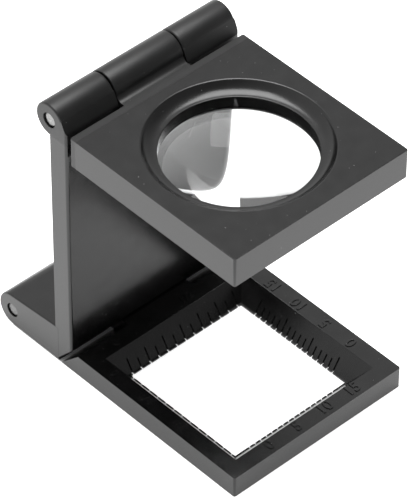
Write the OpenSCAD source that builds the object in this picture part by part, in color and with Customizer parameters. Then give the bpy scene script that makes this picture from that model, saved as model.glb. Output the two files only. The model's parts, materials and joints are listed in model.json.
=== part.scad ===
// Folding stand magnifier (linen tester): a base frame with a scaled window, an upright stand and a
// lens plate, joined by two pinned barrel hinges. Millimetres, +Z up, front of the instrument at -Y.
// The origin is at the middle of the footprint, on the surface that the instrument rests on.

/* [Overall] */
// Width shared by the base, the stand and the lens plate
plate_w = 30; // [27:0.5:40]
// From the front face of the stand to the front edge of the base
base_reach = 31.6; // [30:0.5:44]
// Height of the upper face of the lens plate
lens_top_z = 41.9; // [40.5:0.1:60]

/* [Base frame] */
// Thickness of the base frame
base_t = 3.4; // [2.8:0.1:4.2]
// Radius of the upright corners of the base frame
base_corner_r = 0.3; // [0.2:0.1:2]
// Width of the bar in front of the window
front_bar = 5.2; // [4:0.1:7]
// Window size from side to side, at its lower edge
window_w = 20; // [14:0.1:20.5]
// Window size from front to back, at its lower edge
window_l = 20.2; // [14:0.1:21]
// How far the right and rear bevels beside the window run outwards
bevel_run = 2.25; // [1:0.05:2.6]
// How far the left bevel beside the window runs outwards
left_bevel_run = 2.5; // [1:0.05:3]
// How far the front bevel beside the window runs outwards
front_bevel_run = 2.75; // [1:0.05:3]
// Width of the flat land between each bevel and the window's edge
land_w = 0.25; // [0.05:0.05:0.4]
// Thickness of the square lip under each bevel
lip_t = 0.25; // [0.15:0.05:0.6]

/* [Scales] */
// Distance between two marks of the metric scale
metric_pitch = 1; // [1:1:2]
// Least length left bare at each end of a metric scale
metric_margin = 1.5; // [1:0.1:3]
// Distance between two marks of the inch scale
inch_pitch = 1.5875; // [1.5875]
// Least length left bare at each end of an inch scale
inch_margin = 0.4; // [0.3:0.1:3]
// Width of a mark's groove
mark_w = 0.24; // [0.15:0.01:0.35]
// Depth of a mark's groove, measured level
mark_depth = 0.25; // [0.1:0.01:0.4]
// Height to which a long mark climbs the bevel
long_mark_z = 2.05; // [1:0.05:2.4]
// Height to which a short mark climbs the bevel
short_mark_z = 1.45; // [0.8:0.05:2]

/* [Stand] */
// Thickness of the upright plate
stand_t = 3.15; // [2.6:0.01:4]
// How far the bevel under the stand's front face rises above the base frame
mitre_extra = 0.2; // [0:0.1:1]
// Level distance between the bevels of the stand and the base frame, at the floor
mitre_gap = 1; // [0.6:0.1:1.6]
// Radius of the stand's upright front edges
stand_edge_r = 0.4; // [0.2:0.05:0.9]
// How far round the upper barrel, from level, its front runs on into the stand's shoulder
shoulder_angle = 25; // [15:1:35]

/* [Foot] */
// Radius of the rounded rear end of the foot, which is also its axis height
foot_r = 2.65; // [2.3:0.05:3.5]
// How much higher the foot is at the stand than at its rear end
foot_rise = 0.75; // [0:0.05:2]
// Gap between the folded lens plate and the folded base frame behind it
nest_gap = 1; // [0.3:0.1:3]

/* [Hinges] */
// Radius of the upper hinge barrel
barrel_r = 2.55; // [2.2:0.05:3.2]
// Gap between the back of the stand and the lens plate folded behind it
fold_gap = 0.5; // [0.3:0.05:1]
// Height of the upper hinge axis above the upper face of the lens plate
barrel_axis_rise = 0.45; // [0.2:0.05:1]
// Width of the slot for the middle knuckle of the upper hinge
top_slot_w = 12; // [8:0.5:16]
// Width of the slot for the middle knuckle of the lower hinge
foot_slot_w = 12; // [8:0.5:16]
// Gap on each side of a middle knuckle
side_gap = 0.2; // [0.1:0.05:0.4]
// Gap left at each hinge's open stop
stop_gap = 0.12; // [0.05:0.01:0.3]
// Gap round a moving knuckle
sweep_gap = 0.3; // [0.2:0.05:0.6]
// Diameter of both hinge pins
pin_d = 2; // [1.5:0.1:2.4]
// Radial clearance of a pin in the knuckle that turns on it
pin_run_gap = 0.05; // [0.02:0.01:0.1]
// Radial clearance of a pin in the knuckles that grip it
pin_grip_gap = 0.01; // [0.01:0.01:0.02]
// How far each end of a pin lies inside the side face
pin_recess = 0.15; // [0:0.05:0.5]
// How much wider than the pin the mouth of its hole is, in radius
hole_mouth = 0.18; // [0.05:0.01:0.3]

/* [Lens plate] */
// Thickness of the lens plate
lens_plate_t = 4.65; // [4.2:0.05:7]
// Length of the lens plate from front to back
lens_plate_l = 30.5; // [27:0.5:32]
// Gap between the stand's front face and the rear edge of the lens plate
lens_plate_gap = 0.75; // [0.5:0.05:1.5]
// Radius of the upright corners of the lens plate
lens_plate_corner_r = 0.3; // [0.2:0.1:2]
// Radius of the fillet between the middle knuckle and the lens plate
web_fillet_r = 1; // [0.4:0.1:1.5]

/* [Lens] */
// Diameter of the lens
lens_d = 22; // [16:0.1:22.8]
// Width of the ledge that the rim of the lens is pushed up against
ledge_w = 0.65; // [0.4:0.05:1]
// Depth of that ledge below the upper face of the lens plate
ledge_depth = 2.8; // [2.2:0.05:3.2]
// Width of the hollowed wall of the mouth over the lens
cove_w = 2.1; // [1:0.05:2.4]
// Depth of the hollowed wall of the mouth
cove_depth = 1.2; // [0.6:0.05:1.6]
// Radius of curvature of the lens's upper face
lens_upper_r = 46; // [24:1:60]
// Radius of curvature of the lens's lower face
lens_lower_r = 46; // [40:1:150]
// Thickness of the lens at its edge
lens_edge_t = 0.6; // [0.4:0.05:1]
// Radial gap round the lens and the ring in their seat
seat_gap = 0.05; // [0.02:0.01:0.1]
// Gap above and below the lens in its seat
lens_float = 0.02; // [0.01:0.01:0.05]
// Thickness of the ring under the lens
ring_t = 0.65; // [0.4:0.05:1]

/* [Hidden] */

$fn = 96;
eps = 0.01;
past = 2;                                           // how far a cutting shape runs past a face
black_plastic = [0.13, 0.13, 0.135];
steel = [0.72, 0.72, 0.7];
glass = [0.82, 0.9, 0.92, 0.45];

// Where the two hinge axes lie behind the stand's front face, so that the plates fold flat behind it
barrel_axis_y = stand_t + fold_gap - barrel_axis_rise;
foot_axis_y = stand_t + fold_gap + lens_plate_t + nest_gap + foot_r;
barrel_z = lens_top_z + barrel_axis_rise;
pin_r = pin_d / 2;
face_y = (base_reach - foot_axis_y - foot_r) / 2;   // the stand's front face in the instrument's frame

window_front = front_bar - base_reach;
window_rear = window_front + window_l;
mitre_floor_y = stand_t - mitre_gap;
mitre_rise = base_t + mitre_extra;
notch_z = base_t + stop_gap;                        // ceiling over the base frame's tongue
slot_floor_z = barrel_z - barrel_r - stop_gap;      // floor under the lens plate's middle knuckle
foot_root_z = 2 * foot_r + foot_rise;
foot_top_angle = atan(foot_rise / (foot_axis_y - stand_t));

lens_centre_y = -lens_plate_gap - lens_plate_l / 2;
lens_bottom_z = lens_top_z - lens_plate_t;
ledge_z = lens_top_z - ledge_depth;
seat_r = lens_d / 2 + seat_gap;
sight_r = lens_d / 2 - ledge_w;
mouth_r = sight_r + cove_w;
function sag(curve_r, r) = curve_r - sqrt(curve_r * curve_r - r * r);
lens_edge_z = ledge_z - lens_float - sag(lens_upper_r, lens_d / 2) + sag(lens_upper_r, sight_r);
lens_rim_z = lens_edge_z - lens_edge_t;
ring_top_z = lens_rim_z - sag(lens_lower_r, lens_d / 2) + sag(lens_lower_r, sight_r) - lens_float;

// Shapes are drawn with Y = 0 on the stand's front face and then moved into the instrument's frame.
module in_frame() translate([0, face_y, 0]) children();

// A flat shape drawn in Y and Z, drawn out to width w about the middle plane.
module across(w) rotate([90, 0, 90]) linear_extrude(w, center = true) children();

// A rod of radius r and width w on the axis through y and z.
module rod(r, w, y, z) translate([0, y, z]) rotate([0, 90, 0]) cylinder(r = r, h = w, center = true);

// A rectangle with round corners, from the point low to the point high.
module round_rect(low, high, r) {
    translate(low + [r, 0]) square(high - low - [2 * r, 0]);
    translate(low + [0, r]) square(high - low - [0, 2 * r]);
    for (x = [low.x + r, high.x - r], y = [low.y + r, high.y - r]) translate([x, y]) circle(r);
}

// The two mouths of a pin's hole, a little wider than the pin.
module hole_mouths(y, z) {
    for (side = [-1, 1]) translate([side * (plate_w / 2 - pin_recess), y, z]) rotate([0, side * 90, 0])
        cylinder(r = pin_r + hole_mouth, h = past);
}

// ---- Base frame ----

// How far out a bevel with the given run lies at height z, from a lower edge at half.
function bevel_at(half, run, z) = half + land_w + max(0, z - lip_t) * (run - land_w) / (base_t - lip_t);

// The window's outline in one direction: upright at the lip, then spreading to the upper face.
module window_outline(half, low_run, high_run) {
    polygon([
        [-half, -past], [half, -past], [half, lip_t], [half + land_w, lip_t],
        [half + high_run, base_t], [half + high_run, base_t + past],
        [-half - low_run, base_t + past], [-half - low_run, base_t],
        [-half - land_w, lip_t], [-half, lip_t]
    ]);
}

module window() {
    translate([0, (window_front + window_rear) / 2, 0]) intersection() {
        rotate([90, 0, 0]) linear_extrude(window_l + 2 * front_bevel_run + past, center = true)
            window_outline(window_w / 2, left_bevel_run, bevel_run);
        across(window_w + 2 * left_bevel_run + past) window_outline(window_l / 2, front_bevel_run, bevel_run);
    }
}

// One groove in the bevel on the +X side of a window that is half wide, at distance along it.
module mark(half, run, distance, top_z) {
    notch = bevel_at(half, run, lip_t) + mark_depth;
    translate([0, distance, 0]) rotate([90, 0, 0]) linear_extrude(mark_w, center = true) polygon([
        [half - 1, -eps], [notch, -eps], [notch, lip_t],
        [bevel_at(half, run, top_z) + mark_depth, top_z], [half - 1, top_z]
    ]);
}

// A row of marks centred on a bevel of the given length, with a long one every long_every marks.
// The row is as long as fits between the margins in whole groups, each of group marks.
module scale_marks(half, run, length, margin, pitch, long_every, group) {
    last = group * floor((length - 2 * margin) / (group * pitch));
    for (i = [0:last])
        mark(half, run, (i - last / 2) * pitch, i % long_every == 0 ? long_mark_z : short_mark_z);
}

// Millimetres in groups of five, and sixteenths of an inch in quarters with the eighths long.
module metric_scale(half, run, length) scale_marks(half, run, length, metric_margin, metric_pitch, 5, 5);
module inch_scale(half, run, length) scale_marks(half, run, length, inch_margin, inch_pitch, 2, 4);

module scales() {
    translate([0, (window_front + window_rear) / 2, 0]) {
        metric_scale(window_w / 2, bevel_run, window_l);
        rotate([0, 0, -90]) metric_scale(window_l / 2, front_bevel_run, window_w);
        rotate([0, 0, 180]) inch_scale(window_w / 2, left_bevel_run, window_l);
        rotate([0, 0, 90]) inch_scale(window_l / 2, bevel_run, window_w);
    }
}

module base_plate() {
    intersection() {
        across(plate_w) polygon([
            [-base_reach, 0], [mitre_floor_y, 0], [mitre_floor_y - base_t, base_t], [-base_reach, base_t]
        ]);
        translate([0, 0, -eps]) linear_extrude(base_t + 2 * eps)
            round_rect([-plate_w / 2, -base_reach], [plate_w / 2, mitre_floor_y], base_corner_r);
    }
}

// The tongue runs back from the base plate, under the stand, to the lower hinge.
module tongue() {
    width = foot_slot_w - 2 * side_gap;
    translate([-width / 2, mitre_floor_y - base_t, 0]) cube([width, foot_axis_y - mitre_floor_y + base_t, base_t]);
    rod(foot_r, width, foot_axis_y, foot_r);
}

module base_frame() {
    color(black_plastic) in_frame() difference() {
        union() {
            base_plate();
            tongue();
        }
        window();
        scales();
        rod(pin_r + pin_run_gap, plate_w, foot_axis_y, foot_r);
    }
}

// ---- Stand ----

module stand_plate() {
    meet_y = barrel_axis_y - barrel_r * cos(shoulder_angle);
    meet_z = barrel_z + barrel_r * sin(shoulder_angle);
    intersection() {
        across(plate_w) polygon([
            [stand_t, 0], [0, mitre_rise], [0, meet_z - meet_y / tan(shoulder_angle)], [meet_y, meet_z],
            [stand_t, meet_z]
        ]);
        linear_extrude(meet_z)
            round_rect([-plate_w / 2, 0], [plate_w / 2, stand_t + stand_edge_r + eps], stand_edge_r);
    }
}

module foot() {
    top_y = foot_axis_y + foot_r * sin(foot_top_angle);
    top_z = foot_r + foot_r * cos(foot_top_angle);
    across(plate_w) polygon([
        [stand_t - eps, 0], [foot_axis_y, 0], [foot_axis_y, foot_r], [top_y, top_z], [stand_t - eps, foot_root_z]
    ]);
    rod(foot_r, plate_w, foot_axis_y, foot_r);
}

// Room for the base frame's tongue: under the stand, and all round its knuckle to the rear.
module foot_slot() {
    room_r = foot_r + sweep_gap;
    rod(room_r, foot_slot_w, foot_axis_y, foot_r);
    translate([-foot_slot_w / 2, -past, -past]) cube([foot_slot_w, foot_axis_y + past, notch_z + past]);
    translate([-foot_slot_w / 2, foot_axis_y - room_r, -past])
        cube([foot_slot_w, room_r + foot_r + past, foot_root_z + 2 * past]);
}

// Room for the lens plate's middle knuckle.
module top_slot() {
    translate([-top_slot_w / 2, -past, slot_floor_z])
        cube([top_slot_w, barrel_axis_y + barrel_r + 2 * past, 2 * barrel_r + 2 * past]);
}

module stand() {
    color(black_plastic) in_frame() difference() {
        union() {
            stand_plate();
            foot();
            rod(barrel_r, plate_w, barrel_axis_y, barrel_z);
        }
        foot_slot();
        top_slot();
        rod(pin_r + pin_grip_gap, plate_w + past, barrel_axis_y, barrel_z);
        rod(pin_r + pin_grip_gap, plate_w + past, foot_axis_y, foot_r);
        hole_mouths(barrel_axis_y, barrel_z);
        hole_mouths(foot_axis_y, foot_r);
    }
}

// ---- Hinge pins ----

module hinge_pin(y, z) {
    color(steel) in_frame() rod(pin_r, plate_w - 2 * pin_recess, y, z);
}

module bottom_hinge_pin() {
    hinge_pin(foot_axis_y, foot_r);
}

module top_hinge_pin() {
    hinge_pin(barrel_axis_y, barrel_z);
}

// ---- Lens plate ----

// Side view of the middle knuckle, the web that joins it to the plate and the fillet above the web.
module knuckle_outline() {
    fillet_z = lens_top_z + web_fillet_r;
    fillet_y = barrel_axis_y - sqrt(pow(barrel_r + web_fillet_r, 2) - pow(fillet_z - barrel_z, 2));
    translate([barrel_axis_y, barrel_z]) circle(barrel_r);
    translate([-lens_plate_gap - 1, barrel_z - barrel_r])
        square([barrel_axis_y + lens_plate_gap + 1, barrel_r - barrel_axis_rise]);
    difference() {
        polygon([
            [fillet_y, lens_top_z], [fillet_y, fillet_z], [barrel_axis_y, barrel_z], [barrel_axis_y, lens_top_z - eps],
            [fillet_y, lens_top_z - eps]
        ]);
        translate([fillet_y, fillet_z]) circle(web_fillet_r);
    }
}

// Space above the lens: a hollowed mouth, then an upright wall down to the ledge.
module mouth() {
    spread = mouth_r - sight_r;
    cove_r = (spread * spread + cove_depth * cove_depth) / (2 * cove_depth);
    translate([0, lens_centre_y, lens_top_z]) {
        rotate_extrude() intersection() {
            translate([0, -cove_depth]) square([mouth_r, cove_depth + past]);
            union() {
                translate([0, -cove_depth]) square([sight_r, cove_depth + past]);
                translate([sight_r, cove_r - cove_depth]) circle(cove_r);
                square([mouth_r, past]);
            }
        }
        translate([0, 0, -ledge_depth - eps]) cylinder(r = sight_r, h = ledge_depth);
    }
}

module lens_plate() {
    rear_y = -lens_plate_gap;
    color(black_plastic) in_frame() difference() {
        union() {
            translate([0, 0, lens_bottom_z]) linear_extrude(lens_plate_t)
                round_rect([-plate_w / 2, rear_y - lens_plate_l], [plate_w / 2, rear_y], lens_plate_corner_r);
            across(top_slot_w - 2 * side_gap) knuckle_outline();
        }
        mouth();
        translate([0, lens_centre_y, lens_bottom_z - past]) cylinder(r = seat_r, h = ledge_z - lens_bottom_z + past);
        rod(pin_r + pin_run_gap, plate_w, barrel_axis_y, barrel_z);
    }
}

// ---- Lens and its ring ----

module lens() {
    upper_top_z = lens_edge_z + sag(lens_upper_r, lens_d / 2);
    lower_low_z = lens_rim_z - sag(lens_lower_r, lens_d / 2);
    color(glass) in_frame() translate([0, lens_centre_y, 0]) rotate_extrude() intersection() {
        translate([0, lower_low_z]) square([lens_d / 2, upper_top_z - lower_low_z]);
        translate([0, upper_top_z - lens_upper_r]) circle(lens_upper_r, $fn = 720);
        translate([0, lower_low_z + lens_lower_r]) circle(lens_lower_r, $fn = 720);
    }
}

module lens_retaining_ring() {
    color(black_plastic) in_frame() translate([0, lens_centre_y, ring_top_z - ring_t]) difference() {
        cylinder(d = lens_d, h = ring_t);
        translate([0, 0, -past]) cylinder(r = sight_r, h = ring_t + 2 * past);
    }
}

base_frame();
stand();
bottom_hinge_pin();
top_hinge_pin();
lens_plate();
lens();
lens_retaining_ring();
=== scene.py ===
# %% [markdown]
# # A folding stand magnifier in moulded black plastic
#
# The instrument is three flat mouldings on two pinned hinges: a base frame with a scaled window, an
# upright stand and a lens plate. The engineering model already fixes where every piece lies and how it
# folds. This lesson rebuilds the pieces with the soft edges, numbers and finishes of the real thing.
#
# The first cell loads that model as a fixed frame and keeps its parts, whose boxes later cells measure.

# %% Load the frame
import json
import math

import bmesh
import bpy
from mathutils import Matrix, Vector


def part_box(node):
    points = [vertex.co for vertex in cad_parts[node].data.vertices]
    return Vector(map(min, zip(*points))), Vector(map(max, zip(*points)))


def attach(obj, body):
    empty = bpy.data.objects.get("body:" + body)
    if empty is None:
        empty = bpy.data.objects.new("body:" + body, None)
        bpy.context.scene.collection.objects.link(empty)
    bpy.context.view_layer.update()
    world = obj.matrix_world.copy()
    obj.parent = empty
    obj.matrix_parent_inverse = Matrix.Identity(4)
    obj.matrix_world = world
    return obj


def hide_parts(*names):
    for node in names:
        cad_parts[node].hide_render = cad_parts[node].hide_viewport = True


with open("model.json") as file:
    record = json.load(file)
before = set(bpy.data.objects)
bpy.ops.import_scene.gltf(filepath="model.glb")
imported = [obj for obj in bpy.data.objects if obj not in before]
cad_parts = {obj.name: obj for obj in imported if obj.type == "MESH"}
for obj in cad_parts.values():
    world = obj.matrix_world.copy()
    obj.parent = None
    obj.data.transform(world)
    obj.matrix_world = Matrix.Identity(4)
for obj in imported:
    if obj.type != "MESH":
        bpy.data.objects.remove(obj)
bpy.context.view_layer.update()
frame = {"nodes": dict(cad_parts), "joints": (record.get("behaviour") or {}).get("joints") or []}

MM = 0.001
print("nodes:", sorted(frame["nodes"]))

# %% [markdown]
# ## Measurements taken from the frame
#
# A piece could be typed in by hand, but then it would drift away from the model that it dresses. The
# outer faces and both hinge axes are therefore read from the frame, and only the sizes that a box can't
# tell, such as a wall or a radius, are named here. Everything is in metres, so a millimetre is `MM`.

# %% Read the main places
base_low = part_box("base_frame")[0]
stand_low, stand_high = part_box("stand")
plate_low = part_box("lens_plate")[0]
lens_low, lens_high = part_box("lens")
ring_low, ring_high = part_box("lens_retaining_ring")
hinge = {joint["name"]: Vector(joint["pos_m"]) for joint in frame["joints"]}
foot_axis = hinge["base_hinge"]
top_axis = hinge["lens_hinge"]

half_width = stand_high.x
stand_face = stand_low.y
foot_r = foot_axis.z
barrel_r = stand_high.z - top_axis.z
lens_middle = (lens_low + lens_high) / 2
lens_r = (lens_high.x - lens_low.x) / 2
print("width", round(2 * half_width / MM, 2), "mm, barrel radius", round(barrel_r / MM, 2), "mm")

# %% [markdown]
# ## The camera
#
# The camera comes first, because the framing decides how much detail each piece needs. A product shot of
# something this small is taken with a long lens from more than half a metre, which keeps the edges of the
# plates almost parallel. The view is from above the front left corner, with the base window in full view.

# %% Place the camera
CAMERA_TURN = -42.925
CAMERA_HEIGHT = 43.314
CAMERA_ROLL = 0.18
CAMERA_DISTANCE = 0.571
CAMERA_LENS = 315.86
CAMERA_AIM = Vector((-0.6, -1.9, 20.0)) * MM


def place_camera():
    turn = math.radians(CAMERA_TURN)
    height = math.radians(CAMERA_HEIGHT)
    level = math.cos(height)
    towards = Vector((math.sin(turn) * level, -math.cos(turn) * level, math.sin(height)))
    data = bpy.data.cameras.new("product_camera")
    data.lens = CAMERA_LENS
    data.sensor_width = 36
    data.clip_start = 0.01
    data.clip_end = 20
    camera = bpy.data.objects.new("product_camera", data)
    bpy.context.scene.collection.objects.link(camera)
    camera.location = CAMERA_AIM + towards * CAMERA_DISTANCE
    roll = Matrix.Rotation(math.radians(CAMERA_ROLL), 3, "Z")
    camera.rotation_euler = ((-towards).to_track_quat("-Z", "Y").to_matrix() @ roll).to_euler()
    bpy.context.scene.camera = camera
    return camera


camera = place_camera()
print("camera at", [round(v / MM) for v in camera.location], "mm")

# %% [markdown]
# ## Tools for solid shapes
#
# Moulded plastic is flat faces that meet in small round edges. Subdivision would round the edges but also
# swell the flats, and a bevel on a mesh full of holes tends to tear. So each shape starts as a simple
# bar drawn out from an outline, its edges are rounded while it is still simple, and only then are the
# shapes joined and cut. Outlines are lists of 2-D points, with their round stretches worked out as arcs.

# %% Outlines and bars
def arc(centre, radius, start, end, steps=16):
    points = []
    for i in range(steps + 1):
        angle = math.radians(start + (end - start) * i / steps)
        points.append((centre[0] + radius * math.cos(angle), centre[1] + radius * math.sin(angle)))
    return points


def round_rectangle(low, high, radius):
    near = (low[0] + radius, low[1] + radius)
    far = (high[0] - radius, high[1] - radius)
    return (
        arc(near, radius, 180, 270, 8)
        + arc((far[0], near[1]), radius, 270, 360, 8)
        + arc(far, radius, 0, 90, 8)
        + arc((near[0], far[1]), radius, 90, 180, 8)
    )


def bar(outline, along, start, end):
    """The outline lies in the other two axes, in the order X, Y, Z."""
    mesh = bmesh.new()
    ends = []
    for place in (start, end):
        loop = []
        for u, v in outline:
            point = {"X": (place, u, v), "Y": (u, place, v), "Z": (u, v, place)}[along]
            loop.append(mesh.verts.new(point))
        mesh.faces.new(loop)
        ends.append(loop)
    count = len(outline)
    for i in range(count):
        j = (i + 1) % count
        mesh.faces.new((ends[0][i], ends[0][j], ends[1][j], ends[1][i]))
    bmesh.ops.recalc_face_normals(mesh, faces=mesh.faces)
    return mesh


# %% Round edges, slanted cuts and finished pieces
def is_corner(edge, least=30):
    return len(edge.link_faces) == 2 and edge.calc_face_angle(0) > math.radians(least)


def middle(edge):
    return (edge.verts[0].co + edge.verts[1].co) / 2


def soften(mesh, radius, where=lambda place: True, steps=4):
    """Rounds the sharp edges whose middle is where the rule says."""
    edges = [edge for edge in mesh.edges if is_corner(edge) and where(middle(edge))]
    bmesh.ops.bevel(
        mesh, geom=edges, offset=radius, segments=steps, profile=0.5, affect="EDGES", clamp_overlap=True
    )
    return len(edges)


def slice_off(mesh, point, outward):
    """Cuts away what lies beyond a plane and closes the cut."""
    everything = mesh.verts[:] + mesh.edges[:] + mesh.faces[:]
    bmesh.ops.bisect_plane(
        mesh, geom=everything, plane_co=point, plane_no=outward, clear_outer=True, dist=1e-8
    )
    open_edges = [edge for edge in mesh.edges if edge.is_boundary]
    bmesh.ops.holes_fill(mesh, edges=open_edges)
    bmesh.ops.recalc_face_normals(mesh, faces=mesh.faces)


def make_piece(name, mesh):
    data = bpy.data.meshes.new(name)
    mesh.to_mesh(data)
    mesh.free()
    piece = bpy.data.objects.new(name, data)
    bpy.context.scene.collection.objects.link(piece)
    return piece


# %% [markdown]
# Joining and cutting are boolean modifiers with the exact solver, applied at once so that the helper
# shape can be thrown away. Round work, such as the lens and the bowl of its mouth, is turned as on a
# lathe: a profile of radius and height is carried round an upright or a level axis. A helper runs
# OVERSHOOT past the surface that it cuts or joins, because faces that only touch confuse the solver.

# %% Joining, cutting and turning
OVERSHOOT = 1 * MM
FLAT_WIDTH = 0.4 * MM


def combine(piece, helper_mesh, how):
    helper = make_piece("helper", helper_mesh)
    modifier = piece.modifiers.new("combine", "BOOLEAN")
    modifier.operation = how
    modifier.solver = "EXACT"
    modifier.object = helper
    shaped = piece.evaluated_get(bpy.context.evaluated_depsgraph_get())
    data = bpy.data.meshes.new_from_object(shaped)
    piece.modifiers.clear()
    old = piece.data
    piece.data = data
    bpy.data.meshes.remove(old)
    bpy.data.objects.remove(helper)


def add(piece, helper_mesh):
    combine(piece, helper_mesh, "UNION")


def cut(piece, helper_mesh):
    combine(piece, helper_mesh, "DIFFERENCE")


def turned(profile, centre, axis, steps=160, closed=False, flat_ends=False):
    """Carries (radius, height) points round an axis. A closed profile makes a ring."""
    mesh = bmesh.new()
    rings = []
    for radius, height in profile:
        if radius == 0:
            rings.append([mesh.verts.new((0, 0, height))])
            continue
        ring = []
        for i in range(steps):
            angle = 2 * math.pi * i / steps
            ring.append(mesh.verts.new((radius * math.cos(angle), radius * math.sin(angle), height)))
        rings.append(ring)
    pairs = list(zip(rings, rings[1:]))
    if closed:
        pairs.append((rings[-1], rings[0]))
    for one, two in pairs:
        for i in range(steps):
            j = (i + 1) % steps
            corners = []
            for vert in (one[i % len(one)], one[j % len(one)], two[j % len(two)], two[i % len(two)]):
                if vert not in corners:
                    corners.append(vert)
            mesh.faces.new(corners)
    if flat_ends:
        mesh.faces.new(rings[0])
        mesh.faces.new(rings[-1])
    turn = Vector((0, 0, 1)).rotation_difference(Vector(axis)).to_matrix().to_4x4()
    bmesh.ops.transform(mesh, matrix=Matrix.Translation(centre) @ turn, verts=mesh.verts)
    bmesh.ops.recalc_face_normals(mesh, faces=mesh.faces)
    return mesh


def even_shading(piece, sharp_above=38):
    """Shades small round edges smoothly and keeps every wide face flat."""
    piece.data.shade_smooth()
    piece.data.set_sharp_from_angle(angle=math.radians(sharp_above))
    for face in piece.data.polygons:
        corners = [piece.data.vertices[i].co for i in face.vertices]
        longest = max((one - two).length for one, two in zip(corners, corners[1:] + corners[:1]))
        if face.area > FLAT_WIDTH * longest:
            face.use_smooth = False


# %% [markdown]
# ## The base frame
#
# The base frame lies on the cloth. Its window has sloping sides that end in a thin lip, so that the marks
# lie right against the threads. It could be cut from a block, but its faces are so few that they are
# drawn directly: a ring of four bars that meet in mitres at the window's corners. The rear end is then
# sliced at 45 degrees, where the stand folds against it.

# %% Sizes of the base frame
BASE_T = 3.4 * MM
BASE_CORNER = 0.3 * MM
FRONT_BAR = 5.2 * MM
WINDOW_W = 20 * MM
WINDOW_L = 20.2 * MM
BEVEL_RUN = 2.25 * MM
LEFT_BEVEL_RUN = 2.5 * MM
FRONT_BEVEL_RUN = 2.75 * MM
LAND_W = 0.25 * MM
LIP_T = 0.25 * MM
MITRE_GAP = 1 * MM
BASE_EDGE = 0.28 * MM
RIM_EDGE = 0.04 * MM
FLOOR_EDGE = 0.05 * MM
SLIVER = 0.01 * MM
AXIS_BEHIND = 0.05 * MM

base_front = base_low.y
stand_t = top_axis.y - stand_face - AXIS_BEHIND
mitre_floor = stand_face + stand_t - MITRE_GAP
window_front = base_front + FRONT_BAR
window_rear = window_front + WINDOW_L
window_middle = (window_front + window_rear) / 2
print("window from", round(window_front / MM, 2), "to", round(window_rear / MM, 2), "mm")


# %% Draw the ring of four bars
def window_corners(left_run, front_run, run):
    left = -WINDOW_W / 2 - left_run
    right = WINDOW_W / 2 + run
    front = window_front - front_run
    rear = window_rear + run
    return [(left, front), (right, front), (right, rear), (left, rear)]


def base_ring():
    mesh = bmesh.new()
    outline = round_rectangle((-half_width, base_front), (half_width, mitre_floor), BASE_CORNER)
    floor_outer = [mesh.verts.new((x, y, 0)) for x, y in outline]
    top_outer = [mesh.verts.new((x, y, BASE_T)) for x, y in outline]
    floor_inner = [mesh.verts.new((x, y, 0)) for x, y in window_corners(0, 0, 0)]
    lip_inner = [mesh.verts.new((x, y, LIP_T)) for x, y in window_corners(0, 0, 0)]
    land_outer = [mesh.verts.new((x, y, LIP_T)) for x, y in window_corners(LAND_W, LAND_W, LAND_W)]
    rim = window_corners(LEFT_BEVEL_RUN, FRONT_BEVEL_RUN, BEVEL_RUN)
    top_inner = [mesh.verts.new((x, y, BASE_T)) for x, y in rim]
    count = len(outline)
    per_corner = count // 4
    for i in range(count):
        j = (i + 1) % count
        mesh.faces.new((floor_outer[i], floor_outer[j], top_outer[j], top_outer[i]))
    for side in range(4):
        after = (side + 1) % 4
        first = side * per_corner + per_corner // 2
        span = [(first + k) % count for k in range(per_corner + 1)]
        mesh.faces.new([top_outer[k] for k in span] + [top_inner[after], top_inner[side]])
        mesh.faces.new([floor_outer[k] for k in span] + [floor_inner[after], floor_inner[side]])
        mesh.faces.new((floor_inner[side], floor_inner[after], lip_inner[after], lip_inner[side]))
        mesh.faces.new((lip_inner[side], lip_inner[after], land_outer[after], land_outer[side]))
        mesh.faces.new((land_outer[side], land_outer[after], top_inner[after], top_inner[side]))
    bmesh.ops.recalc_face_normals(mesh, faces=mesh.faces)
    return mesh


ring_of_bars = base_ring()
slice_off(ring_of_bars, (0, mitre_floor - SLIVER, 0), (0, 1, 1))


def on_outer_top(place):
    at_side = abs(place.x) > half_width - BASE_CORNER
    at_front = place.y < base_front + BASE_CORNER
    return place.z > BASE_T / 2 and (at_side or at_front)


def on_window_rim(place):
    before_rear = place.y < window_rear + BEVEL_RUN + SLIVER
    return place.z > BASE_T - SLIVER and before_rear and not on_outer_top(place)


def on_outer_floor(place):
    return place.z < SLIVER and abs(place.x) > half_width - BASE_CORNER


rounded = soften(ring_of_bars, RIM_EDGE, on_window_rim)
rounded += soften(ring_of_bars, BASE_EDGE, on_outer_top)
rounded += soften(ring_of_bars, FLOOR_EDGE, on_outer_floor)
base_frame = make_piece("base_frame_moulding", ring_of_bars)
print("edges rounded on the base frame:", rounded)

# %% [markdown]
# The tongue runs back under the stand and carries the middle knuckle of the lower hinge. Knuckle and
# tongue share one side view, so they are one bar drawn out across the instrument, rounded along both
# side edges and then joined to the ring.

# %% Add the tongue and its knuckle
FOOT_SLOT_W = 12 * MM
TOP_SLOT_W = 12 * MM
SIDE_GAP = 0.2 * MM
KNUCKLE_EDGE = 0.3 * MM
PIN_R = 1 * MM
RUN_GAP = 0.05 * MM
GRIP_GAP = 0.01 * MM


def pin_hole(axis_point, gap, half_length):
    circle = arc((axis_point.y, axis_point.z), PIN_R + gap, 0, 360, 64)[:-1]
    return bar(circle, "X", -half_length, half_length)


def tongue():
    start = mitre_floor - BASE_T - OVERSHOOT
    meet = math.degrees(math.asin((BASE_T - SLIVER - foot_r) / foot_r))
    knuckle = arc((foot_axis.y, foot_axis.z), foot_r, -90, 180 - meet, 48)
    outline = [(start, SLIVER), (foot_axis.y, SLIVER)] + knuckle[1:] + [(start, BASE_T - SLIVER)]
    half = FOOT_SLOT_W / 2 - SIDE_GAP
    mesh = bar(outline, "X", -half, half)
    soften(mesh, KNUCKLE_EDGE, lambda place: abs(place.x) > half - SLIVER)
    return mesh


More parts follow.
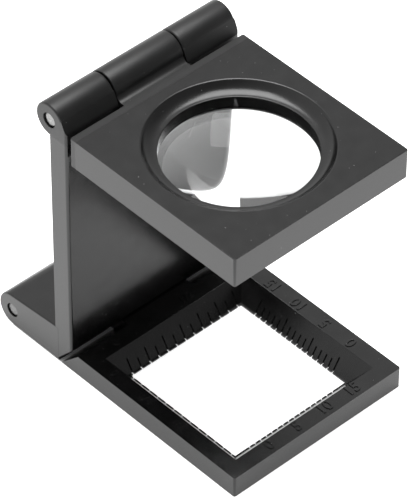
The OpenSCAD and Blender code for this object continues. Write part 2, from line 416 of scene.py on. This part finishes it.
add(base_frame, tongue())
cut(base_frame, pin_hole(foot_axis, RUN_GAP, half_width))
print("base frame faces:", len(base_frame.data.polygons))

# %% [markdown]
# ## The marks
#
# Millimetres run along the front and right bevels, sixteenths of an inch along the left and rear. Each
# mark is a narrow groove that also notches the lip, which is why the window's edge looks finely toothed.
# A texture would lose those teeth, so the grooves are really cut: the little wedges of one side are
# gathered in one mesh and cut in one go.

# %% Cut the marks
METRIC_PITCH = 1 * MM
METRIC_MARGIN = 1.5 * MM
INCH_PITCH = 1.5875 * MM
INCH_MARGIN = 0.4 * MM
MARK_W = 0.24 * MM
MARK_DEPTH = 0.25 * MM
LONG_MARK_Z = 2.05 * MM
SHORT_MARK_Z = 1.45 * MM


def bevel_at(half, run, z):
    return half + LAND_W + max(0, z - LIP_T) * (run - LAND_W) / (BASE_T - LIP_T)


def mark_places(length, margin, pitch, group):
    last = group * int((length - 2 * margin) / (group * pitch) + 1e-6)
    return [(i, (i - last / 2) * pitch) for i in range(last + 1)]


def add_mark(mesh, half, run, distance, top_z, turn):
    """One wedge on the +X side of a window that is half wide, then turned to its own side."""
    notch = bevel_at(half, run, LIP_T) + MARK_DEPTH
    side_view = [
        (half - OVERSHOOT, -SLIVER), (notch, -SLIVER), (notch, LIP_T),
        (bevel_at(half, run, top_z) + MARK_DEPTH, top_z), (half - OVERSHOOT, top_z),
    ]
    wedge = bar(side_view, "Y", distance - MARK_W / 2, distance + MARK_W / 2)
    place = Matrix.Translation((0, window_middle, 0)) @ Matrix.Rotation(math.radians(turn), 4, "Z")
    bmesh.ops.transform(wedge, matrix=place, verts=wedge.verts)
    data = bpy.data.meshes.new("wedge")
    wedge.to_mesh(data)
    wedge.free()
    mesh.from_mesh(data)
    bpy.data.meshes.remove(data)


def scale_wedges(turn, width, run, length, margin, pitch, group, long_every):
    mesh = bmesh.new()
    for i, distance in mark_places(length, margin, pitch, group):
        top_z = SHORT_MARK_Z if i % long_every else LONG_MARK_Z
        add_mark(mesh, width / 2, run, distance, top_z, turn)
    return mesh


MILLIMETRES = (METRIC_MARGIN, METRIC_PITCH, 5, 5)
SIXTEENTHS = (INCH_MARGIN, INCH_PITCH, 4, 2)
for turn, width, run, length, scale in (
    (0, WINDOW_W, BEVEL_RUN, WINDOW_L, MILLIMETRES),
    (-90, WINDOW_L, FRONT_BEVEL_RUN, WINDOW_W, MILLIMETRES),
    (180, WINDOW_W, LEFT_BEVEL_RUN, WINDOW_L, SIXTEENTHS),
    (90, WINDOW_L, BEVEL_RUN, WINDOW_W, SIXTEENTHS),
):
    before = len(base_frame.data.polygons)
    cut(base_frame, scale_wedges(turn, width, run, length, *scale))
    print("scale turned", turn, "added faces:", len(base_frame.data.polygons) - before)
even_shading(base_frame)

# %% [markdown]
# ## The numbers
#
# Each scale has four raised numbers on the flat beside its bevel, moulded in the same black as the rest,
# so they show only where their edges catch the light. They are text curves with a little thickness and a
# rounded edge, turned to read from outside the window, made into a mesh and joined into one piece.

# %% Raise the numbers
NUMBER_SIZE = 2.4 * MM
FRACTION_SIZE = 1.75 * MM
NUMBER_RISE = 0.09 * MM
NUMBER_EDGE = 0.035 * MM
NUMBER_SIDE = 13.5 * MM
FRONT_NUMBERS = base_front + 1.45 * MM
REAR_NUMBERS = window_rear + BEVEL_RUN + 1.35 * MM


def number(text, size, x, y, turn):
    curve = bpy.data.curves.new("number", "FONT")
    curve.body = text
    curve.size = size
    curve.align_x = "CENTER"
    curve.align_y = "CENTER"
    curve.extrude = NUMBER_RISE
    curve.bevel_depth = NUMBER_EDGE
    curve.bevel_resolution = 2
    curve.resolution_u = 4
    letter = bpy.data.objects.new("number", curve)
    letter.matrix_world = Matrix.Translation((x, y, BASE_T)) @ Matrix.Rotation(math.radians(turn), 4, "Z")
    return letter


def scale_numbers():
    letters = []
    for i, text in enumerate(("0", "5", "10", "15")):
        along = (i - 1.5) * 5 * METRIC_PITCH
        letters.append(number(text, NUMBER_SIZE, along, FRONT_NUMBERS, 0))
        letters.append(number(text, NUMBER_SIZE, NUMBER_SIDE, window_middle + along, 90))
    for i, text in enumerate(("0", "1/4", "1/2", "3/4")):
        along = (i - 1.5) * 4 * INCH_PITCH
        letters.append(number(text, FRACTION_SIZE, -NUMBER_SIDE, window_middle - along, -90))
        letters.append(number(text, FRACTION_SIZE, along, REAR_NUMBERS, 0))
    joined = bmesh.new()
    for letter in letters:
        bpy.context.scene.collection.objects.link(letter)
        bpy.context.view_layer.update()
        shaped = letter.evaluated_get(bpy.context.evaluated_depsgraph_get())
        data = bpy.data.meshes.new_from_object(shaped)
        data.transform(letter.matrix_world)
        joined.from_mesh(data)
        bpy.data.meshes.remove(data)
        bpy.data.objects.remove(letter)
    print("numbers:", len(letters))
    return make_piece("scale_numbers", joined)


numbers = scale_numbers()
even_shading(numbers)

# %% [markdown]
# ## The stand
#
# The stand is one moulding: an upright plate, a foot behind it and the two outer knuckles of each hinge.
# The plate is drawn as its front view, with the notch for the tongue and the slot for the lens plate's
# knuckle, and drawn out to its thickness. Its underside is sliced to clear the base as they fold.

# %% Draw the upright plate
MITRE_RISE = BASE_T + 0.2 * MM
NOTCH_Z = BASE_T + 0.3 * MM
SHOULDER_ANGLE = 25
STOP_GAP = 0.12 * MM
STAND_FRONT_EDGE = 0.4 * MM
STAND_BACK_EDGE = 0.25 * MM
STAND_LIP_EDGE = 0.05 * MM
SLOT_EDGE = 0.15 * MM

stand_back = stand_face + stand_t
slot_floor = top_axis.z - barrel_r - STOP_GAP
meet_y = top_axis.y - barrel_r * math.cos(math.radians(SHOULDER_ANGLE))
meet_z = top_axis.z + barrel_r * math.sin(math.radians(SHOULDER_ANGLE))
shoulder = meet_z - (meet_y - stand_face) / math.tan(math.radians(SHOULDER_ANGLE))


def upright_plate():
    slot = TOP_SLOT_W / 2
    side = half_width - SLIVER
    front_view = [
        (-side, 0), (-slot, 0), (-slot, NOTCH_Z), (slot, NOTCH_Z), (slot, 0), (side, 0),
        (side, meet_z), (slot, meet_z), (slot, slot_floor),
        (-slot, slot_floor), (-slot, meet_z), (-side, meet_z),
    ]
    mesh = bar(front_view, "Y", stand_face, stand_back)
    slice_off(mesh, (0, stand_back - SLIVER, 0), (0, -MITRE_RISE, -stand_t))
    slice_off(mesh, (0, stand_face, shoulder), (0, shoulder - meet_z, meet_y - stand_face))

    def on_side(place):
        return abs(place.x) > side - SLIVER

    def upright_front(place):
        return on_side(place) and place.y < stand_face + SLIVER and MITRE_RISE < place.z < shoulder

    def upright_back(place):
        return on_side(place) and place.y > stand_back - SLIVER and place.z > SLIVER

    soften(mesh, STAND_FRONT_EDGE, upright_front, 8)
    soften(mesh, STAND_BACK_EDGE, upright_back)
    soften(mesh, STAND_LIP_EDGE, lambda place: place.z < MITRE_RISE + SLIVER)
    soften(mesh, SLOT_EDGE, lambda place: abs(place.x) < slot + SLIVER)
    return mesh


stand = make_piece("stand_moulding", upright_plate())
print("stand thickness", round(stand_t / MM, 2), "mm")

# %% [markdown]
# The foot is drawn as its side view: flat below, sloping a little above and round at the rear, where the
# lower pin passes. Two cheeks and a web between them leave room for the tongue. The upper knuckles are
# short rods with softened ends. A pin hole opens out a little at its mouth, which gives each pin end its
# dark ring.

# %% Add the foot, the knuckles and the pin holes
FOOT_ROOT_Z = 2 * foot_r + 0.75 * MM
SWEEP_GAP = 0.3 * MM
FOOT_EDGE = 0.22 * MM
BARREL_EDGE = 0.28 * MM
SEAM_EDGE = 0.32 * MM
TOP_MOUTH_GAP = 0.13 * MM
FOOT_MOUTH_GAP = 0.06 * MM
MOUTH_DEPTH = 0.7 * MM
BURIED = 0.5 * MM

foot_slope = math.atan((FOOT_ROOT_Z - 2 * foot_r) / (foot_axis.y - stand_back))


def foot_outline(front):
    rise = math.tan(foot_slope) * (stand_back - front)
    round_end = arc((foot_axis.y, foot_axis.z), foot_r, -90, 90 - math.degrees(foot_slope), 40)
    return [(front, 0)] + round_end + [(front, FOOT_ROOT_Z + rise)]


def foot_cheek(start, end):
    mesh = bar(foot_outline(stand_back - BURIED), "X", start, end)
    outer = max(abs(start), abs(end))

    def on_outer_side(place):
        return abs(place.x) > outer - SLIVER and place.y > stand_back - BURIED / 2

    soften(mesh, FOOT_EDGE, on_outer_side)
    soften(mesh, SEAM_EDGE, lambda place: abs(place.x) < FOOT_SLOT_W / 2 + SLIVER)
    return mesh


def foot_web():
    rear = foot_axis.y - foot_r - SWEEP_GAP
    front = stand_back - BURIED
    drop = math.tan(foot_slope) * (rear - stand_back)
    rise = math.tan(foot_slope) * BURIED
    outline = [
        (front, NOTCH_Z), (rear, NOTCH_Z), (rear, FOOT_ROOT_Z - drop - SLIVER / 4),
        (front, FOOT_ROOT_Z + rise - SLIVER / 4),
    ]
    half = FOOT_SLOT_W / 2 + BURIED
    mesh = bar(outline, "X", -half, half)
    soften(mesh, SLOT_EDGE, lambda place: place.y > rear - SLIVER and abs(place.x) < half - SLIVER)
    return mesh


def rod(axis_point, radius, start, end, start_edge, end_edge):
    """A level rod whose two ends are rounded by quarter circles."""
    profile = []
    for x, y in arc((0, 0), start_edge, 270, 360, 5):
        profile.append((radius - start_edge + x, start + start_edge + y))
    for x, y in arc((0, 0), end_edge, 0, 90, 5):
        profile.append((radius - end_edge + x, end - end_edge + y))
    return turned(profile, (0, axis_point.y, axis_point.z), (1, 0, 0), 128, flat_ends=True)


def hole_mouth(axis_point, gap, side):
    circle = arc((axis_point.y, axis_point.z), PIN_R + gap, 0, 360, 64)[:-1]
    inner = side * (half_width - MOUTH_DEPTH)
    outer = side * (half_width + 2 * OVERSHOOT)
    return bar(circle, "X", min(inner, outer), max(inner, outer))


for side in (-1, 1):
    ends = sorted((side * FOOT_SLOT_W / 2, side * half_width))
    add(stand, foot_cheek(*ends))
add(stand, foot_web())
add(stand, rod(top_axis, barrel_r, -half_width, -TOP_SLOT_W / 2, BARREL_EDGE, SEAM_EDGE))
add(stand, rod(top_axis, barrel_r, TOP_SLOT_W / 2, half_width, SEAM_EDGE, BARREL_EDGE))
for axis_point, mouth_gap in ((foot_axis, FOOT_MOUTH_GAP), (top_axis, TOP_MOUTH_GAP)):
    cut(stand, pin_hole(axis_point, GRIP_GAP, half_width + OVERSHOOT))
    for side in (-1, 1):
        cut(stand, hole_mouth(axis_point, mouth_gap, side))
even_shading(stand)
print("stand faces:", len(stand.data.polygons))

# %% [markdown]
# ## The lens plate
#
# The lens plate is a square slab with the middle knuckle of the upper hinge behind it. A small fillet
# runs between the two. Over the lens lies the mouth: a rounded rim, a hollowed cove and then an upright
# wall down to the ledge that holds the lens. The mouth is turned from its profile and cut out.

# %% Draw the slab and its knuckle
PLATE_T = 4.65 * MM
PLATE_GAP = 0.75 * MM
PLATE_CORNER = 0.3 * MM
PLATE_EDGE = 0.07 * MM
WEB_FILLET = 1 * MM
SHARP_ROOT = 0.3 * MM

plate_top = plate_low.z + PLATE_T
plate_rear = stand_face - PLATE_GAP


def slab():
    outline = round_rectangle((-half_width, plate_low.y), (half_width, plate_rear), PLATE_CORNER)
    mesh = bar(outline, "Z", plate_low.z, plate_top)
    soften(mesh, PLATE_EDGE)
    return mesh


def plate_knuckle():
    fillet_z = plate_top + WEB_FILLET
    reach = math.sqrt((barrel_r + WEB_FILLET) ** 2 - (fillet_z - top_axis.z) ** 2)
    fillet_y = top_axis.y - reach
    lean = math.degrees(math.asin((fillet_z - top_axis.z) / (barrel_r + WEB_FILLET)))
    buried = plate_rear - OVERSHOOT
    fillet = arc((fillet_y, fillet_z), WEB_FILLET, 270, 360 - lean, 10)
    knuckle = arc((top_axis.y, top_axis.z), barrel_r, 180 - lean, -90, 48)
    outline = fillet + knuckle[1:] + [(buried, top_axis.z - barrel_r), (buried, plate_top)]
    half = TOP_SLOT_W / 2 - SIDE_GAP
    mesh = bar(outline, "X", -half, half)

    def on_free_side(place):
        return abs(place.x) > half - SLIVER and place.y > plate_rear + SHARP_ROOT

    soften(mesh, SEAM_EDGE, on_free_side)
    return mesh


lens_plate = make_piece("lens_plate_moulding", slab())
add(lens_plate, plate_knuckle())
print("lens plate top at", round(plate_top / MM, 2), "mm")

# %% Cut the mouth, the seat and the pin hole
SIGHT_R = 10.35 * MM
MOUTH_R = 12.45 * MM
COVE_DEPTH = 1.2 * MM
LEDGE_DEPTH = 2.8 * MM
MOUTH_EDGE = 0.3 * MM
COVE_LIP = 0.12 * MM
COVE_START = SIGHT_R + COVE_LIP * 1.2
COVE_END = -MOUTH_EDGE * 0.4
RIM_ARC = (170, 92)
SEAT_GAP = 0.05 * MM


def mouth_profile():
    reach = MOUTH_R - SIGHT_R
    cove_r = (reach * reach + COVE_DEPTH * COVE_DEPTH) / (2 * COVE_DEPTH)
    sweep = math.degrees(math.asin(reach / cove_r))
    cove = arc((SIGHT_R, cove_r - COVE_DEPTH), cove_r, 270, 270 + sweep, 24)
    floor = -LEDGE_DEPTH - OVERSHOOT
    lip = arc((SIGHT_R + COVE_LIP, -COVE_DEPTH - COVE_LIP), COVE_LIP, 180, 90, 4)
    kept = [point for point in cove if point[0] > COVE_START and point[1] < COVE_END]
    last = kept[-1]
    rim = arc((last[0] + MOUTH_EDGE, -MOUTH_EDGE), MOUTH_EDGE, *RIM_ARC, 6)
    rim = [point for point in rim if point[1] > last[1]]
    above = [(rim[-1][0], OVERSHOOT), (0, OVERSHOOT)]
    return [(0, floor), (SIGHT_R, floor)] + lip + kept + rim + above


mouth_centre = Vector((lens_middle.x, lens_middle.y, plate_top))
cut(lens_plate, turned(mouth_profile(), mouth_centre, (0, 0, 1), 192))
ledge = plate_top - LEDGE_DEPTH
seat_r = lens_r + SEAT_GAP
seat_low = plate_low.z - OVERSHOOT
seat = [(0, seat_low), (seat_r, seat_low), (seat_r, ledge), (0, ledge)]
cut(lens_plate, turned(seat, (lens_middle.x, lens_middle.y, 0), (0, 0, 1), 192))
cut(lens_plate, pin_hole(top_axis, RUN_GAP, half_width))
even_shading(lens_plate)
print("lens plate faces:", len(lens_plate.data.polygons))

# %% [markdown]
# ## The lens and its ring
#
# The lens is one double-convex glass with a ground edge. The light that bends through it shows every
# facet, so it is turned in fine steps from its two curves. The ring that holds it is pressed in from
# below; its edges are softened because the fingers meet them.

# %% Turn the lens
LENS_UPPER_R = 46 * MM
LENS_LOWER_R = 46 * MM
GROUND_EDGE = 0.12 * MM


def sag(curve_r, radius):
    return curve_r - math.sqrt(curve_r * curve_r - radius * radius)


def lens_profile():
    radii = [(lens_r - GROUND_EDGE) * i / 48 for i in range(49)]
    upper = [(r, lens_high.z - sag(LENS_UPPER_R, r)) for r in radii]
    lower = [(r, lens_low.z + sag(LENS_LOWER_R, r)) for r in reversed(radii)]
    edge_high = lens_high.z - sag(LENS_UPPER_R, lens_r) - GROUND_EDGE / 2
    edge_low = lens_low.z + sag(LENS_LOWER_R, lens_r) + GROUND_EDGE / 2
    return upper + [(lens_r, edge_high), (lens_r, edge_low)] + lower


lens = make_piece("lens_glass", turned(lens_profile(), (lens_middle.x, lens_middle.y, 0), (0, 0, 1), 256))
lens.data.shade_smooth()
lens.data.set_sharp_from_angle(angle=math.radians(25))
print("lens", round(2 * lens_r / MM, 2), "mm across")

# %% Turn the retaining ring
RING_EDGE = 0.12 * MM


def ring_profile():
    corners = [
        (SIGHT_R, ring_low.z, 180), (ring_high.x, ring_low.z, 270),
        (ring_high.x, ring_high.z, 0), (SIGHT_R, ring_high.z, 90),
    ]
    points = []
    for radius, height, start in corners:
        inwards = RING_EDGE if start in (180, 90) else -RING_EDGE
        upwards = RING_EDGE if start in (180, 270) else -RING_EDGE
        points += arc((radius + inwards, height + upwards), RING_EDGE, start, start + 90, 4)
    return points


ring = make_piece(
    "lens_ring",
    turned(ring_profile(), (lens_middle.x, lens_middle.y, 0), (0, 0, 1), 160, closed=True),
)
even_shading(ring)
print("ring faces:", len(ring.data.polygons))

# %% [markdown]
# ## The hinge pins
#
# The pins are cut from drawn wire, so their ends are bright and a little rough, with a burr turned over
# at the rim. A plain cylinder would look like a sticker in the hole. The ends here are slightly domed,
# their edge is rounded and a few crooked facets are pressed into them.

# %% Turn the pins
PIN_EDGE = 0.14 * MM
PIN_DOME = 0.05 * MM
FACET_Y = 0.21 * MM
FACET_Z = 0.17 * MM
FACET_DEPTH = 0.03 * MM
FACETED_END = 0.3 * MM


def pin_profile(start, end):
    half = (end - start) / 2
    centre = (start + end) / 2
    one_end = []
    for i in range(6):
        radius = (PIN_R - PIN_EDGE) * i / 5
        one_end.append((radius, half - PIN_DOME * (radius / PIN_R) ** 2))
    shoulder_point = (PIN_R - PIN_EDGE, half - PIN_DOME - PIN_EDGE)
    one_end += arc(shoulder_point, PIN_EDGE, 80, 0, 4)
    other_end = [(radius, 2 * centre - height) for radius, height in reversed(one_end)]
    return one_end + other_end


def hinge_pin(name, node, axis_point):
    low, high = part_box(node)
    mesh = turned(pin_profile(low.x, high.x), (0, axis_point.y, axis_point.z), (1, 0, 0), 64)
    for vert in mesh.verts:
        off_axis = math.hypot(vert.co.y - axis_point.y, vert.co.z - axis_point.z)
        if abs(vert.co.x) > high.x - FACETED_END and off_axis < PIN_R - PIN_EDGE / 2:
            wave = math.sin(vert.co.y / FACET_Y) * math.sin(vert.co.z / FACET_Z + 1)
            vert.co.x -= math.copysign(FACET_DEPTH * (1 + wave) / 2, vert.co.x)
    pin = make_piece(name, mesh)
    even_shading(pin)
    return pin


top_pin = hinge_pin("top_pin", "top_hinge_pin", top_axis)
bottom_pin = hinge_pin("bottom_pin", "bottom_hinge_pin", foot_axis)
print("pins ready")

# %% [markdown]
# ## The finishes
#
# Each finish is a small network of nodes in the object's own space, measured in metres, so that the
# grain keeps its real size and turns with the piece. The plastic is nearly black all through; what the
# eye sees is mostly what it mirrors, so its roughness and fine surface ripple matter most. A few pale
# specks lie in it, partly dust and partly painted glints of light, and the parts round the upper
# hinge are duller, where fingers have rubbed them.

# %% Helpers for the finishes
def new_finish(name):
    finish = bpy.data.materials.new(name)
    finish.use_nodes = True
    return finish, finish.node_tree.nodes, finish.node_tree.links


def noise(nodes, links, size, detail=3.0):
    """Noise with features of about the given size in metres."""
    place = nodes.new("ShaderNodeTexCoord")
    texture = nodes.new("ShaderNodeTexNoise")
    texture.inputs["Scale"].default_value = 1 / size
    texture.inputs["Detail"].default_value = detail
    links.new(place.outputs["Object"], texture.inputs["Vector"])
    return texture.outputs["Fac"]


def spread(nodes, links, value, low, high, start=0.3, end=0.7):
    """Maps a noise value to a range of numbers."""
    mapping = nodes.new("ShaderNodeMapRange")
    mapping.inputs["From Min"].default_value = start
    mapping.inputs["From Max"].default_value = end
    mapping.inputs["To Min"].default_value = low
    mapping.inputs["To Max"].default_value = high
    links.new(value, mapping.inputs["Value"])
    return mapping.outputs["Result"]


def two_tones(nodes, links, value, dark, light):
    mix = nodes.new("ShaderNodeMix")
    mix.data_type = "RGBA"
    mix.inputs["A"].default_value = (*dark, 1)
    mix.inputs["B"].default_value = (*light, 1)
    links.new(value, mix.inputs["Factor"])
    return mix.outputs["Result"]


def ripple(nodes, links, shader, heights):
    """Adds up height fields, given as (value, height in metres), into one bump."""
    normal = None
    for value, height in heights:
        bump = nodes.new("ShaderNodeBump")
        bump.inputs["Strength"].default_value = 1
        bump.inputs["Distance"].default_value = height
        links.new(value, bump.inputs["Height"])
        if normal:
            links.new(normal, bump.inputs["Normal"])
        normal = bump.outputs["Normal"]
    links.new(normal, shader.inputs["Normal"])


# %% Satin black plastic
PLASTIC_TONE = 0.004
CLOUD_SIZE = 2.2 * MM
GRAIN_SIZE = 0.12 * MM
# Pale specks in the plastic's colour: partly dust, partly painted glints of light.
DUST_GLINT_SIZE = 0.3 * MM
DUST_GLINT_TONE = (0.22, 0.22, 0.22)
DUST_GLINT_FROM = 0.79
DUST_GLINT_FULL = 0.82
RUBBED = 0.2
MATT_RAMP = 0.4 * MM


def place_along(nodes, links, axis):
    place = nodes.new("ShaderNodeTexCoord")
    parts = nodes.new("ShaderNodeSeparateXYZ")
    links.new(place.outputs["Object"], parts.inputs["Vector"])
    return parts.outputs[axis]


def calculate(nodes, links, how, one, two):
    result = nodes.new("ShaderNodeMath")
    result.operation = how
    links.new(one, result.inputs[0])
    links.new(two, result.inputs[1])
    return result.outputs["Value"]


def satin_plastic(name, tone, smooth, rough, grain, matt_axis="Z", matt_from=1.0, matt_extra=0.0):
    """Black plastic that is rougher by matt_extra beyond matt_from along matt_axis."""
    finish, nodes, links = new_finish(name)
    shader = nodes["Principled BSDF"]
    clouds = noise(nodes, links, CLOUD_SIZE, 4)
    fine = noise(nodes, links, GRAIN_SIZE, 2)
    dust_and_glints = noise(nodes, links, DUST_GLINT_SIZE, 1)
    dark = (0.75 * tone,) * 3
    light = (1.25 * tone,) * 3
    body = two_tones(nodes, links, spread(nodes, links, clouds, 0, 1), dark, light)
    # Mixes the pale specks into the colour: partly dust, partly painted glints of light.
    mix = nodes.new("ShaderNodeMix")
    mix.data_type = "RGBA"
    mix.inputs["B"].default_value = (*DUST_GLINT_TONE, 1)
    links.new(body, mix.inputs["A"])
    links.new(spread(nodes, links, dust_and_glints, 0, 1, DUST_GLINT_FROM, DUST_GLINT_FULL), mix.inputs["Factor"])
    links.new(mix.outputs["Result"], shader.inputs["Base Color"])
    roughness = spread(nodes, links, clouds, smooth, rough)
    if matt_extra:
        along = place_along(nodes, links, matt_axis)
        matt = spread(nodes, links, along, 0, matt_extra, matt_from, matt_from + MATT_RAMP)
        roughness = calculate(nodes, links, "ADD", roughness, matt)
    links.new(roughness, shader.inputs["Roughness"])
    ripple(nodes, links, shader, [(fine, grain), (clouds, 2 * grain)])
    shader.inputs["IOR"].default_value = 1.5
    return finish


plate_black = satin_plastic(
    "satin_black_plate", PLASTIC_TONE, smooth=0.2, rough=0.25, grain=0.0006 * MM,
    matt_axis="Y", matt_from=plate_rear - 1.2 * MM, matt_extra=RUBBED,
)
hinge_black = satin_plastic(
    "satin_black_stand", PLASTIC_TONE, smooth=0.2, rough=0.26, grain=0.0001 * MM,
    matt_axis="Z", matt_from=slot_floor, matt_extra=RUBBED,
)
base_black = satin_plastic("satin_black_base", PLASTIC_TONE, smooth=0.2, rough=0.26, grain=0.0008 * MM)
print("plastic finishes:", plate_black.name, hinge_black.name, base_black.name)


# %% Cut steel
def cut_steel(name, dark, light):
    finish, nodes, links = new_finish(name)
    shader = nodes["Principled BSDF"]
    pits = noise(nodes, links, 0.3 * MM, 5)
    shade = two_tones(nodes, links, spread(nodes, links, pits, 0, 1), dark, light)
    links.new(shade, shader.inputs["Base Color"])
    links.new(spread(nodes, links, pits, 0.25, 0.5), shader.inputs["Roughness"])
    ripple(nodes, links, shader, [(pits, 0.03 * MM)])
    shader.inputs["Metallic"].default_value = 1
    return finish


bright_steel = cut_steel("cut_steel", (0.16, 0.16, 0.16), (0.36, 0.36, 0.355))
# The lower pin takes a darker copy of the same steel: painted shade, not a duller finish.
shaded_pin_steel = cut_steel("shaded_pin_steel", (0.1, 0.1, 0.1), (0.2, 0.2, 0.2))


# %% Lens glass
TINT_LOW = (0.72, 0.725, 0.725)
TINT_HIGH = (0.75, 0.755, 0.755)


def polished_glass():
    finish, nodes, links = new_finish("polished_glass")
    shader = nodes["Principled BSDF"]
    film = noise(nodes, links, 4 * MM, 2)
    tint = two_tones(nodes, links, spread(nodes, links, film, 0, 1), TINT_LOW, TINT_HIGH)
    links.new(tint, shader.inputs["Base Color"])
    links.new(spread(nodes, links, film, 0, 0.002), shader.inputs["Roughness"])
    shader.inputs["Transmission Weight"].default_value = 1
    shader.inputs["IOR"].default_value = 1.52
    return finish


glass = polished_glass()
print("glass and steel ready")

# %% [markdown]
# ## Dressing the frame
#
# Each piece takes its finish, rides on the body that it belongs to and stands in for its plain node of
# the engineering model. The model's own solids stay hidden.

# %% Put each piece on its body
DRESSING = [
    (base_frame, base_black, "base", "base_frame", "black_plastic"),
    (stand, hinge_black, "stand", "stand", "black_plastic"),
    (top_pin, bright_steel, "stand", "top_hinge_pin", "pin_steel"),
    (bottom_pin, shaded_pin_steel, "stand", "bottom_hinge_pin", "pin_steel"),
    (lens_plate, plate_black, "lens_holder", "lens_plate", "black_plastic"),
    (lens, glass, "lens_holder", "lens", "lens_glass"),
    (ring, plate_black, "lens_holder", "lens_retaining_ring", "black_plastic"),
]
for piece, finish, body, node, slot in DRESSING:
    piece.data.materials.clear()
    piece.data.materials.append(finish)
    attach(piece, body)
    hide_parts(node)
numbers.data.materials.clear()
numbers.data.materials.append(base_black)
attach(numbers, "base")
print("pieces dressed:", len(DRESSING) + 1)

# %% [markdown]
# ## Floor and light
#
# Black plastic is lit by what it mirrors. The floor is a white sheet that glows a little, which fills
# the upright faces. The room is dim on the camera's side and bright behind the instrument, so the faces
# differ in tone. A softbox overhead lights the plastic, and a weaker one in the same place lights only
# the lens, whose mirror image of it would otherwise be too strong.

# %% Floor
FLOOR_SIZE = 4
FLOOR_GLOW = 0.75
SHEET_LOW = (0.93, 0.93, 0.93)
SHEET_HIGH = (0.95, 0.95, 0.95)


def within(nodes, links, value, low, high):
    """One where the value lies between low and high, and nought elsewhere."""
    test = nodes.new("ShaderNodeMath")
    test.operation = "COMPARE"
    test.inputs[1].default_value = (low + high) / 2
    test.inputs[2].default_value = (high - low) / 2
    links.new(value, test.inputs[0])
    return test.outputs["Value"]


def under_the_hinge(nodes, links):
    """One under the stand and its foot, where no light gets in, and nought elsewhere."""
    across = within(nodes, links, place_along(nodes, links, "X"), -half_width, half_width)
    along = within(nodes, links, place_along(nodes, links, "Y"), stand_face, foot_axis.y)
    return calculate(nodes, links, "MULTIPLY", across, along)


def white_floor():
    """A light table: a white sheet that glows a little, so that the instrument casts no hard shadow."""
    finish, nodes, links = new_finish("white_floor")
    shader = nodes["Principled BSDF"]
    clouds = noise(nodes, links, 300 * MM, 2)
    hidden = under_the_hinge(nodes, links)
    sheet = two_tones(nodes, links, spread(nodes, links, clouds, 0, 1), SHEET_LOW, SHEET_HIGH)
    links.new(sheet, shader.inputs["Base Color"])
    shader.inputs["Roughness"].default_value = 0.8
    shader.inputs["Emission Color"].default_value = (1, 1, 1, 1)
    links.new(spread(nodes, links, hidden, FLOOR_GLOW, 0, 0, 1), shader.inputs["Emission Strength"])
    return finish


floor_mesh = bmesh.new()
bmesh.ops.create_grid(floor_mesh, x_segments=1, y_segments=1, size=FLOOR_SIZE / 2)
floor = make_piece("studio_floor", floor_mesh)
floor.data.materials.append(white_floor())

# %% Light
DIM_FRONT = 0.32
BRIGHT_BACK = 1.0
TOWARDS_BACK = (-0.25, 0.97, 0)
DIM_UP_TO = -0.5
BRIGHT_FROM = 0.55
OVERHEAD = (0.127, 0.136, 0.9)
OVERHEAD_SIZE = 0.58
OVERHEAD_POWER = 8
LENS_POWER = 3.2

studio = bpy.data.worlds.new("studio")
studio.use_nodes = True


def shade_room(world):
    """A pale room that is darker on the camera's side and brighter behind the instrument."""
    nodes = world.node_tree.nodes
    links = world.node_tree.links
    place = nodes.new("ShaderNodeTexCoord")
    along = nodes.new("ShaderNodeVectorMath")
    along.operation = "DOT_PRODUCT"
    along.inputs[1].default_value = TOWARDS_BACK
    links.new(place.outputs["Generated"], along.inputs[0])
    depth = along.outputs["Value"]
    level = spread(nodes, links, depth, DIM_FRONT, BRIGHT_BACK, DIM_UP_TO, BRIGHT_FROM)
    links.new(level, nodes["Background"].inputs["Strength"])
    nodes["Background"].inputs["Color"].default_value = (1, 1, 1, 1)


shade_room(studio)
bpy.context.scene.world = studio
bpy.context.scene.view_settings.view_transform = "Standard"


def softbox(name, place, aim, size, power):
    data = bpy.data.lights.new(name, "AREA")
    data.shape = "RECTANGLE"
    data.size = size
    data.size_y = size
    data.energy = power
    lamp = bpy.data.objects.new(name, data)
    lamp.location = place
    lamp.rotation_euler = (Vector(aim) - Vector(place)).to_track_quat("-Z", "Y").to_euler()
    bpy.context.scene.collection.objects.link(lamp)
    return lamp


def aim_at_glass(lamp, state):
    """With INCLUDE the lamp lights only the lens, with EXCLUDE everything but the lens."""
    chosen = bpy.data.collections.new(lamp.name + "_receivers")
    chosen.objects.link(lens)
    chosen.collection_objects[0].light_linking.link_state = state
    lamp.light_linking.receiver_collection = chosen


aim_at_glass(softbox("overhead_softbox", OVERHEAD, (0, 0, 0), OVERHEAD_SIZE, OVERHEAD_POWER), "EXCLUDE")
aim_at_glass(softbox("lens_softbox", OVERHEAD, (0, 0, 0), OVERHEAD_SIZE, LENS_POWER), "INCLUDE")
print("floor and light ready")
